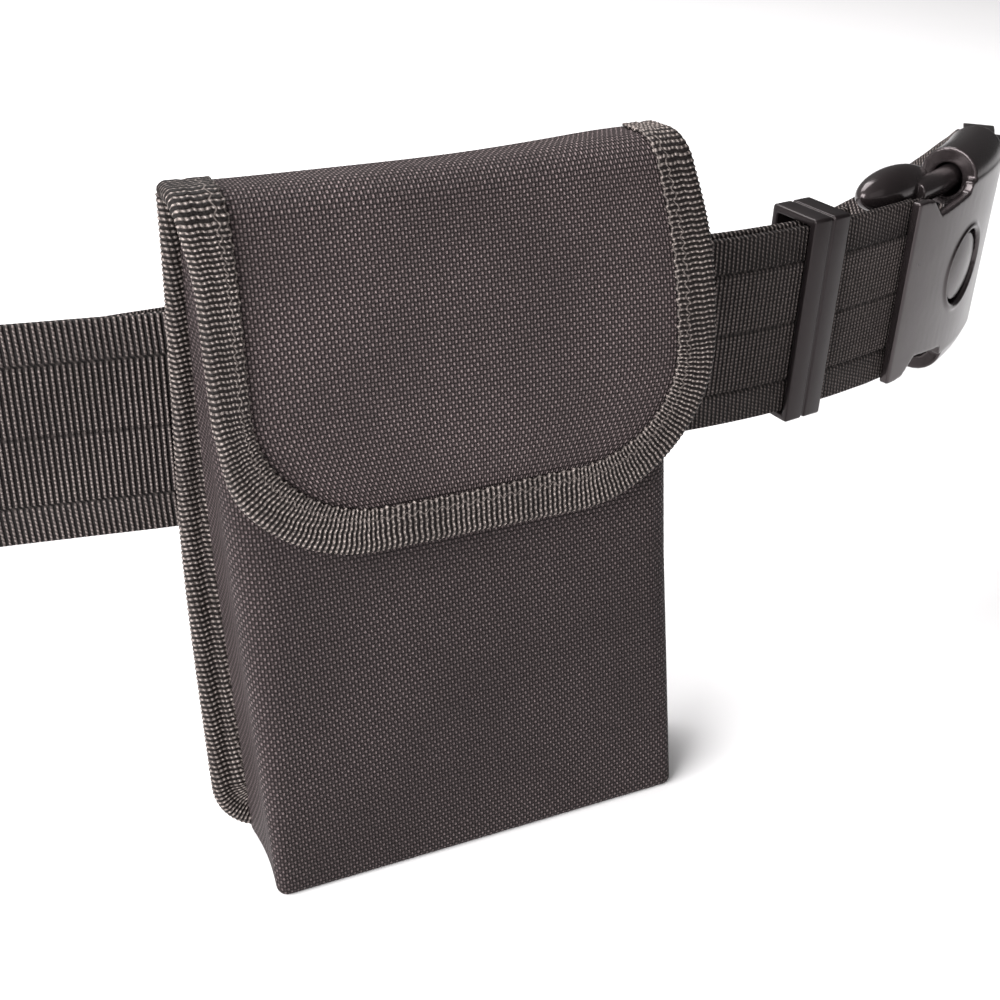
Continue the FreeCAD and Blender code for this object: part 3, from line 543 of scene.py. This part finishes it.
def binding(name, outline, surface, section, body, nodes, depth=0.14):
    """Tape folded over an edge: section is (distance in from the edge, height over the panel, rib share)."""
    d, h, share = np.array(section).T
    s = outline.travel[:, None]
    flow = s + 0.12 * np.sin(1.9 * d + 0.06 * s) + 0.12 * np.sin(s / 3.3)
    ripple = depth * np.cos(2 * PI * flow / RIB) * share
    bite = 0.25 * np.sin(s * 2 * PI / 2.9) * (d > 8.5)
    d = d + bite + 0.3 * np.sin(s / 11.0) * (d > 5)
    x = outline.x[:, None] + outline.nx[:, None] * d
    y = outline.y[:, None] + outline.ny[:, None] * d
    P = surface(x, y, h + ripple * np.sign(h))
    P[..., 0] -= outline.nx[:, None] * ripple * (np.abs(h) < 0.9) * (d < 1.2)
    girth = np.concatenate([[0], np.cumsum(np.hypot(np.diff(d[0]), np.diff(h)))])
    girth = np.append(girth, girth[-1] + 0.3)
    flow = np.concatenate([flow, flow[:, :1]], 1)
    UV = np.stack(np.broadcast_arrays(flow + 0.25 * RIB, girth[None, :]), -1)
    return make_mesh(name, *grid(P, UV), TAPE, body, "binding_tape", *nodes)


def fold_section(width, front, back, roll, valley=None, thin=0.45):
    """Tape section: over the front face, round the edge, along the back and home inside.
    valley is a furrow's distance from the edge, depth and width."""
    out = []
    for d in np.linspace(width, roll, 9):
        height = front
        if valley:
            height -= valley[1] * bell(d - valley[0], valley[2])
        out.append((d, height, 1.0))
    for k in range(1, 8):
        a = PI * k / 8
        middle, tall = (front + back) / 2, (front - back) / 2
        out.append((roll - roll * math.sin(a), middle + tall * math.cos(a), 1.0))
    for d in np.linspace(roll, width, 7):
        out.append((d, back, 1.0))
    inner_back, inner_front = back + thin, front - thin
    for d in (width, roll + 0.6):
        out.append((d, inner_back, 0.0))
    for d in np.linspace(roll + 0.6, width, 5):
        height = inner_front
        if valley:
            height -= valley[1] * bell(d - valley[0], valley[2])
        out.append((d, max(height, inner_back + 0.1), 0.0))
    return out


def sheet_grid(name, rows, cols, top, bottom, material, body, slot, *nodes):
    """Closed slab between two surfaces given as functions of two grids of numbers."""
    a, b = np.meshgrid(rows, cols, indexing="ij")
    T, B = top(a, b), bottom(a, b)
    n, m = a.shape
    points = np.concatenate([T.reshape(-1, 3), B.reshape(-1, 3)])
    index = np.arange(n * m).reshape(n, m)
    flat = np.stack([a, b], -1).reshape(-1, 2)
    faces, uv = [], []

    def add(quad):
        faces.append(quad)
        uv.extend(flat[q % (n * m)].tolist() for q in quad)

    for i in range(n - 1):
        for j in range(m - 1):
            quad = [index[i, j], index[i + 1, j], index[i + 1, j + 1], index[i, j + 1]]
            add([int(q) for q in quad])
            add([int(q) + n * m for q in quad[::-1]])
    rim = [index[i, 0] for i in range(n)] + [index[n - 1, j] for j in range(1, m)]
    rim += [index[i, m - 1] for i in range(n - 2, -1, -1)] + [index[0, j] for j in range(m - 2, 0, -1)]
    for p, q in zip(rim, rim[1:] + rim[:1]):
        add([int(q), int(p), int(p) + n * m, int(q) + n * m])
    return make_mesh(name, points, faces, uv, material, body, slot, *nodes)


def squarish(a, b, half, low, high, radius_low, radius_high):
    """Grid numbers from -1 to 1 across and 0 to 1 up, mapped on a panel with round corners."""
    z = low + (high - low) * b
    inset = np.zeros_like(z)
    under = np.clip(radius_low - (z - low), 0, radius_low)
    inset += radius_low - np.sqrt(np.maximum(radius_low ** 2 - under ** 2, 0))
    over = np.clip(radius_high - (high - z), 0, radius_high)
    inset += radius_high - np.sqrt(np.maximum(radius_high ** 2 - over ** 2, 0))
    return a * (half - inset), z


# ---------------------------------------------------------------- back panel and its binding
def back_panel(offset):
    def place(a, b):
        x, z = squarish(a / 56.0, b / 149.0, 56.0, 2.2, 151.6, 11.5, 3.0)
        return panel_point(x, z, offset + 0 * x)
    return place


sheet_grid("back_panel", np.linspace(-56, 56, 57), 149 * (1 - np.cos(np.linspace(0, PI, 76))) / 2,
           back_panel(0.9), back_panel(-0.9), FABRIC, "pouch", "pouch_fabric", "pouch_back_panel")

flange = Path(-58.1, 152.2, -PI / 2).line(138.6).arc(13.0, 90).line(90.2).arc(13.0, 90).line(138.6)
binding("flange_tape", Outline(flange, 0.3), panel_point,
        fold_section(TAPE_WIDTH, 1.55, -1.6, 1.7, (4.4, 0.75, 0.8)), "pouch",
        ["flange_binding_left", "flange_binding_right"])


# ---------------------------------------------------------------- front panel, wrapped round the sides
def front_y(z):
    """The front panel's plane."""
    return -11.5 + math.tan(LEAN) * z


def body_section(z, grow):
    """Half the pouch's level outline at a height, from the middle of the front to the back panel."""
    half = 50.4 + 2.2 * z / 152.0 - grow
    front = front_y(z) + grow / math.cos(LEAN) - 1.3 * (1 - z / 150.0)
    back = back_y(z) - 0.95 - 0.1
    radius = 2.2 + 3.6 * min(z / 60.0, 1.0) - grow * 0.6
    run = np.linspace(0, half - radius, 22)
    bulge = 1.3 * np.sin(PI * np.clip(z / 150.0, 0, 1)) ** 0.7 * np.cos(PI * run / 2 / half) ** 0.8
    points = [(x, front - b) for x, b in zip(run, bulge)]
    turn = [PI / 2 * k / 8 for k in range(1, 9)]
    points += [(half - radius + radius * math.sin(a), front + radius - radius * math.cos(a)) for a in turn]
    side = np.linspace(front + radius, back, 9)[1:]
    pinch = 0.8 * np.sin(PI * np.linspace(0, 1, 9)[1:])
    points += [(half - p, y) for p, y in zip(pinch, side)]
    return np.array(points)


def whole_section(z, grow):
    """The whole of the level outline, from the back on the left to the back on the right."""
    half = body_section(z, grow)
    return np.concatenate([half[::-1] * [-1, 1], half[1:]])


def pouch_body():
    """The wrapped panel's outer face, tucked in under the foot, and its inner face."""
    wall, rows = 1.6, 110
    heights = list(np.linspace(146.0, 2.2, rows)) + [1.5, 0.9, 0.45, 0.15, 0.03]
    tuck = [0.0] * rows + [0.05, 0.25, 0.55, 1.0, 1.7]
    rings, uvs = [], []
    for z, inset in zip(heights, tuck):
        whole = whole_section(z, inset)
        run = np.concatenate([[0], np.cumsum(np.hypot(*np.diff(whole, axis=0).T))])
        rings.append(np.column_stack([whole, np.full(len(whole), z)]))
        uvs.append(np.column_stack([run - run[-1] / 2, np.full(len(whole), z / math.cos(LEAN))]))
    inner = []
    for z in heights[::-1]:
        z = max(z, wall + 0.1)
        whole = whole_section(z, wall)
        inner.append(np.column_stack([whole, np.full(len(whole), z)]))
    P = np.array(rings + inner).transpose(1, 0, 2)
    UV = np.array(uvs + uvs[::-1]).transpose(1, 0, 2)
    UV = np.concatenate([UV, UV[:, :1]], 1)
    make_mesh("front_wrap", *grid(P, UV, caps=False), FABRIC, "pouch", "pouch_fabric", "pouch_front_panel")


pouch_body()


def base_place(level):
    def place(a, b):
        x = a * 47.2 / 47.0
        front, back = front_y(0) + 2.1, back_y(0.0) - 1.3
        y = front + (back - front) * b / 18.0
        z = level + 0 * x
        return np.stack([x, y, z], -1)
    return place


sheet_grid("base_panel", np.linspace(-47, 47, 40), np.linspace(0, 18, 12), base_place(1.6), base_place(0.03),
           FABRIC, "pouch", "pouch_fabric", "pouch_base_panel")


# ---------------------------------------------------------------- flap
HINGE_Y, HINGE_Z = 27.2, 154.0
ROLL = 6.0                      # radius of the bend over the mouth
GAP = 3.2                       # from the front panel to the flap's middle


def flap_side():
    """The flap's line seen from the side: over the mouth, round the bend and down the front."""
    fall = PI * 1.5 - LEAN
    level = HINGE_Z - ROLL * (1 - math.cos(fall - PI))
    edge = front_y(level) - GAP / math.cos(LEAN)
    path = Path(HINGE_Y, HINGE_Z, PI).line(HINGE_Y - edge - ROLL * math.sin(fall - PI))
    return path.arc(ROLL, math.degrees(fall - PI)).line(73.0)


SIDE = flap_side()
DROP = SIDE.length()
FLAP_MID = 1.5


def flap_surface(x, t, off):
    """Flap point: x across, t down along its side line, off out of it; soft swell added."""
    x, t, off = np.broadcast_arrays(x, t, off)
    plan = np.array([SIDE.at(float(s)) for s in t.ravel()]).reshape(t.shape + (3,))
    y, z, heading = plan[..., 0], plan[..., 1], plan[..., 2]
    part = np.clip(t / DROP, 0, 1)
    # it swells over the pouch's contents, and its lower edge lifts a little
    swell = 1.1 * np.cos(np.clip(x / 62.0, -1, 1) * PI / 2) * np.sin(PI * part) ** 1.2
    swell += 1.6 * smooth(x, 18, 60) * np.sin(PI * part) ** 1.5
    swell += 0.5 * np.sin(x / 19.0 + 0.8) * np.sin(PI * part) ** 2 * part
    swell += 0.7 * part ** 6
    out = off + swell
    # its sides bow, its top right corner is pulled in, and its top edge sags at the left
    bow = 1.5 * smooth(x, 5, 58) * np.sin(PI * np.clip(part * 1.08, 0, 1)) ** 0.8
    bow = bow - 6.2 * smooth(x, 20, 57) * bell(t, 24.0)
    bow = bow + 2.6 * smooth(-x, 44, 57) * smooth(t, 4, 30) * smooth(-t, -76, -58)
    sag = (-0.6 - 3.0 * smooth(-x, -45, 45)) * bell(t, 26.0) - 1.2 * bell(x - 8, 30.0) * bell(t, 20.0)
    return np.stack([x + bow + FLAP_MID, y + out * np.sin(heading), z - out * np.cos(heading) + sag], -1)


def flap_place(offset):
    def place(a, b):
        # the second number runs from the hinge down to the bottom edge
        down = b / DROP * (DROP - 1.2)
        x, _ = squarish(a / 56.0, 1 - down / (DROP - 1.2), 56.0, 0.0, DROP - 1.2, 33.0, 0.1)
        return flap_surface(x, down, offset)
    return place


sheet_grid("flap", np.linspace(-56, 56, 70), DROP * np.sin(np.linspace(0, PI / 2, 90)), flap_place(1.0),
           flap_place(-1.0), LIT_FLAP_FABRIC, "flap", "pouch_fabric", "flap_panel")

CORNER = 34.0                   # radius of the flap's lower corners
edge = Path(-57.0, 0.6, PI / 2).line(DROP - 0.6 - CORNER).arc(CORNER, -90).line(46.0).arc(CORNER, -90)
edge = edge.line(DROP - 0.6 - CORNER)
flap_edge = Outline(edge, 0.3)
flap_edge.nx, flap_edge.ny = -flap_edge.nx, -flap_edge.ny
binding("flap_tape", flap_edge, flap_surface,
        fold_section(TAPE_WIDTH, 1.75, -1.6, 1.6, (4.6, 0.22, 0.5)), "flap", ["flap_binding"])


def hinge_fold():
    """Fabric that runs from the inside of the back panel on to the underside of the flap."""
    def place(level):
        def at(a, b):
            along = flap_surface(a, np.maximum(12.0 - b, 1.6), -1.5 - level)
            upright = np.stack([a, 25.1 - level + 0 * a, 147.0 - np.maximum(b - 13.0, 0)], -1)
            share = smooth(b, 9.5, 12.5)[..., None]
            return along * (1 - share) + upright * share
        return at
    piece = sheet_grid("hinge_fold", np.linspace(-52, 52, 50), np.linspace(0, 20, 41), place(0.0), place(0.7),
                       FABRIC, None, "pouch_fabric")
    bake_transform(piece)


hinge_fold()


# ---------------------------------------------------------------- closures, mouth rim and belt loops
def lean_slab(name, x, low, high, near, thick, body, node):
    """A patch of hook or loop along the front panel: half width, foot, top, distance and thickness."""
    def place(distance):
        def at(a, b):
            z = low + (high - low) * b / 30.0
            height = z + distance * math.sin(LEAN)
            y = front_y(z) - distance * math.cos(LEAN) - 1.1 * np.cos(PI * a / 110.0)
            return np.stack([a, y, height], -1)
        return at
    sheet_grid(name, np.linspace(-x, x, 30), np.linspace(0, 30, 16), place(near + thick), place(near), HOOK,
               body, "hook_loop", node)


lean_slab("loop_patch", 30.0, 88.0, 124.0, 0.25, 0.7, "pouch", "front_loop_patch")
lean_slab("hook_patch", 30.0, 90.0, 122.0, 1.35, 0.6, "flap", "flap_hook_patch")


def mouth_rim():
    """Narrow binding over the front panel's top edge."""
    section = fold_section(7.0, 0.8, -2.35, 1.0, None, 0.4)
    line = Outline(Path(48.5, 147.2, PI).line(97.0), 0.5)
    line.nx, line.ny = np.zeros_like(line.nx), np.full_like(line.ny, -1.0)

    def surface(x, z, off):
        swell = 1.3 * np.sin(PI * np.clip(z / 150.0, 0, 1)) ** 0.7
        swell = swell * np.cos(np.clip(x / 52, -1, 1) * PI / 2) ** 0.8
        return np.stack([x, front_y(z) - off * math.cos(LEAN) - swell, z + off * math.sin(LEAN)], -1)
    binding("mouth_tape", line, surface, section, "pouch", ["mouth_binding"])


mouth_rim()


def belt_loop(name, x, node):
    """A webbing loop on the pouch's back, sewn above and below the belt."""
    near, far, top, high, low, turn = 28.2, 40.6, 146.0, 128.2, 69.6, 4.0
    side = Path(near, top, -PI / 2).line(top - high - turn).arc(turn, 90)
    side.line(far - near - 2 * turn).arc(turn, -90).line(high - low - 2 * turn)
    side.arc(turn, -90).line(far - turn - near + 0.2)
    travels = np.linspace(0, side.length(), int(side.length() / 0.3))
    plan = np.array([side.at(s) for s in travels])
    v, off, face = strap_profile(12.3, -0.7, 0.7, [-10.0, 10.0]).T
    out = off[None, :] - 0.09 * np.cos(2 * PI * travels[:, None] / RIB) * face
    P = np.stack([x + v[None, :] + 0 * out, plan[:, 0:1] - out * np.sin(plan[:, 2:3]),
                  plan[:, 1:2] + out * np.cos(plan[:, 2:3])], -1)
    UV = np.stack(np.broadcast_arrays(travels[:, None] + 0.25 * RIB, np.append(v, v[0])[None, :]), -1)
    make_mesh(name, *grid(P, UV), WEB, "pouch", "webbing", node)


belt_loop("loop_left", -31.0, "belt_loop_left")
belt_loop("loop_right", 31.0, "belt_loop_right")


# ---------------------------------------------------------------- keeper
def make_keeper():
    """A flat moulded ring round the belt, with a groove round its middle."""
    depth, tall, wall, length = 15.2, 54.6, 2.0, 12.0
    turn = math.radians(9.0)
    origin = np.array([106.7, 29.8, BELT_MID])
    along = np.array([math.cos(turn), math.sin(turn), 0])
    back = np.array([-math.sin(turn), math.cos(turn), 0])
    up = np.array([0, 0, 1.0])

    def ring(d, h, y0, r):
        """Rounded rectangle of depth d and height h, starting y0 behind the front face."""
        path = Path(y0 + r, -h / 2, 0).line(d - 2 * r).arc(r, 90).line(h - 2 * r).arc(r, 90)
        path.line(d - 2 * r).arc(r, 90).line(h - 2 * r).arc(r, 90)
        points = []
        for x, y, heading, span, side in path.spans:
            for k in range(6):
                at = Path(x, y, heading)
                at.spans.append((x, y, heading, span, side))
                points.append(at.at(span * k / 6)[:2])
        return np.array(points)

    outer, inner = ring(depth, tall, 0.0, 0.9), ring(depth - 2 * wall, tall - 2 * wall, wall, 0.5)
    half = length / 2
    # places along the belt, each with its depth in the wall
    section = [(-half, 1.6), (-half, 0.5), (-half + 0.15, 0.18), (-half + 0.5, 0.0),
               (-1.0, 0.0), (-0.62, 0.06), (-0.42, 0.42), (0.42, 0.42), (0.62, 0.06), (1.0, 0.0),
               (half - 0.5, 0.0), (half - 0.15, 0.18), (half, 0.5), (half, 1.6),
               (half - 0.3, 2.0), (-half + 0.3, 2.0)]
    P = np.zeros((len(outer), len(section), 3))
    for j, (a, w) in enumerate(section):
        place = outer + (inner - outer) * (w / wall)
        P[:, j] = origin + along * a + back * place[:, :1] + up * place[:, 1:]
    n, m = P.shape[:2]
    index = np.arange(n * m).reshape(n, m)
    faces = []
    for i in range(n):
        for j in range(m):
            after, beside = (i + 1) % n, (j + 1) % m
            faces.append([int(index[i, j]), int(index[i, beside]), int(index[after, beside]),
                          int(index[after, j])])
    piece = make_mesh("belt_keeper", P.reshape(-1, 3), faces, None, KEEPER, "keeper", "keeper_plastic",
                      "keeper")
    sharpen(piece, 0.25, 35)


def sharpen(piece, width, angle):
    """Small rounded edges with flat faces between them."""
    bevel = piece.modifiers.new("edges", "BEVEL")
    bevel.width = width * MM
    bevel.segments = 2
    bevel.limit_method = "ANGLE"
    bevel.angle_limit = math.radians(angle)
    bevel.harden_normals = True


make_keeper()


# ---------------------------------------------------------------- moulded parts
def moulded(node, name, voxel, rounds, body, material, shape=None):
    """A moulded skin over a CAD part: its sharp edges melt into small radii, then shape() bends it."""
    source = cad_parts[node]
    mesh = source.data.copy()
    piece = bpy.data.objects.new(name, mesh)
    bpy.context.scene.collection.objects.link(piece)
    mesh.materials.clear()
    mesh.materials.append(material)
    bpy.context.view_layer.objects.active = piece
    remesh = piece.modifiers.new("skin", "REMESH")
    remesh.mode = "VOXEL"
    remesh.voxel_size = voxel * MM
    remesh.use_smooth_shade = True
    relax = piece.modifiers.new("melt", "SMOOTH")
    relax.factor = 0.5
    relax.iterations = rounds
    graph = bpy.context.evaluated_depsgraph_get()
    result = bpy.data.meshes.new_from_object(piece.evaluated_get(graph))
    piece.modifiers.clear()
    piece.data = result
    if shape:
        points = np.empty(len(result.vertices) * 3, np.float32)
        result.vertices.foreach_get("co", points)
        points = points.reshape(-1, 3).astype(float) / MM
        result.vertices.foreach_set("co", (shape(points) * MM).astype(np.float32).ravel())
    result.polygons.foreach_set("use_smooth", [True] * len(result.polygons))
    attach(piece, body)
    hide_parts(node)


def about_button(points):
    """Radius about the curve's centre, distance from the button's middle, and directions outwards."""
    x, y = points[:, 0] - CX, CY - points[:, 1]
    radius = np.hypot(x, y)
    travel = (np.arctan2(x, y) - START) * R
    outwards = np.stack([x / radius, -y / radius, 0 * x], 1)
    return radius, np.hypot(travel - BUTTON_PLACE, points[:, 2] - BELT_MID), outwards


def raised_lip(points):
    """A soft lip round the button's hole."""
    radius, away, outwards = about_button(points)
    lift = 0.55 * bell(away - 11.6, 0.8) * smooth(radius, 136.5, 137.6)
    return points + outwards * lift[:, None]


def domed(points):
    """The button's face swells a little."""
    radius, away, outwards = about_button(points)
    lift = (1.0 * (1 - (away / BUTTON_RADIUS) ** 2) - 0.25) * smooth(radius, 134.0, 137.0)
    return points + outwards * lift[:, None]


def lower_ends(points):
    """The bar's blunt ends are pressed closer to the strap's edges."""
    free = 26.0
    height = points[:, 2] - BELT_MID
    short = np.minimum(np.abs(height), free) + np.maximum(np.abs(height) - free, 0) * 0.35
    return np.column_stack([points[:, :2], BELT_MID + np.sign(height) * short])


moulded("female_buckle_half", "buckle_female", 0.38, 10, "belt", BUCKLE, raised_lip)
moulded("male_buckle_half", "buckle_male", 0.45, 18, "belt", BUCKLE, lower_ends)
moulded("release_arm_upper", "arm_upper", 0.3, 8, "arm_upper", BUCKLE)
moulded("release_arm_lower", "arm_lower", 0.3, 8, "arm_lower", BUCKLE)
moulded("release_button", "button", 0.28, 8, "tongue", BUCKLE, domed)

for node, material in (("centre_tongue", BUCKLE), ("belt_stiffener", CORE), ("belt_loop_strip", HOOK),
                       ("tail_hook_strip", HOOK)):
    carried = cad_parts[node]
    carried.data.materials.clear()
    carried.data.materials.append(material)

# ---------------------------------------------------------------- floor, light and camera
floor_look = Look("floor_paper", 0.6, specular=0.2)
fleck = floor_look.noise(14.0, 3.0)
floor_look.colour(floor_look.mix(fleck, (0.93, 0.92, 0.925), (0.95, 0.94, 0.945)))
floor_mesh = bpy.data.meshes.new("floor")
floor_mesh.from_pydata([(-4, -4, 0), (4, -4, 0), (4, 4, 0), (-4, 4, 0)], [], [(0, 1, 2, 3)])
floor_mesh.materials.append(floor_look.material)
floor = bpy.data.objects.new("floor", floor_mesh)
floor.location.z = min(cad_box[0][2], 0.0) - 0.0001
bpy.context.scene.collection.objects.link(floor)

world = bpy.data.worlds.new("studio")
bpy.context.scene.world = world
world.use_nodes = True
world.node_tree.nodes["Background"].inputs["Color"].default_value = (1.0, 0.985, 0.985, 1)
sky = world.node_tree
side = sky.nodes.new("ShaderNodeSeparateXYZ")
sky.links.new(sky.nodes.new("ShaderNodeTexCoord").outputs["Generated"], side.inputs[0])
fade = sky.nodes.new("ShaderNodeMapRange")
sky.links.new(side.outputs["X"], fade.inputs["Value"])
for socket, value in (("From Min", -0.9), ("From Max", 0.7), ("To Min", 0.8), ("To Max", 0.1)):
    fade.inputs[socket].default_value = value
sky.links.new(fade.outputs["Result"], sky.nodes["Background"].inputs["Strength"])


def area_light(name, place, target, size, power):
    """A soft rectangle of light at a place, turned to a target."""
    data = bpy.data.lights.new(name, "AREA")
    data.shape = "RECTANGLE"
    data.size, data.size_y = size
    data.energy = power
    lamp = bpy.data.objects.new(name, data)
    lamp.location = place
    lamp.rotation_mode = "QUATERNION"
    lamp.rotation_quaternion = (Vector(target) - Vector(place)).to_track_quat("-Z", "Y")
    bpy.context.scene.collection.objects.link(lamp)


area_light("key", (-1.0, -0.30, 0.62), (0.0, 0.02, 0.07), (0.95, 0.8), 29.0)
area_light("top", (-0.1, 0.6, 1.1), (0.05, 0.05, 0.05), (0.9, 0.7), 15.0)
area_light("front", (0.35, -1.0, 0.55), (0.05, 0.0, 0.08), (0.9, 0.7), 0.8)

CAMERA_PLACE = Vector((-0.10386, -0.23108, 0.23455))
azimuth, elevation, roll = (math.radians(a) for a in (25.4, 30.4, 2.244))
view = Vector((math.sin(azimuth) * math.cos(elevation), math.cos(azimuth) * math.cos(elevation),
               -math.sin(elevation)))
level = Vector((math.cos(azimuth), -math.sin(azimuth), 0))
upright = level.cross(view)
right = level * math.cos(roll) + upright * math.sin(roll)
head = upright * math.cos(roll) - level * math.sin(roll)
camera_data = bpy.data.cameras.new("camera")
camera_data.lens = 49.95
camera_data.sensor_width = 36.0
camera_data.clip_start, camera_data.clip_end = 0.01, 20.0
camera = bpy.data.objects.new("camera", camera_data)
turn = Matrix((right, head, -view)).transposed()
camera.matrix_world = Matrix.Translation(CAMERA_PLACE) @ turn.to_4x4()
bpy.context.scene.collection.objects.link(camera)
bpy.context.scene.camera = camera
bpy.context.scene.view_settings.view_transform = "Standard"
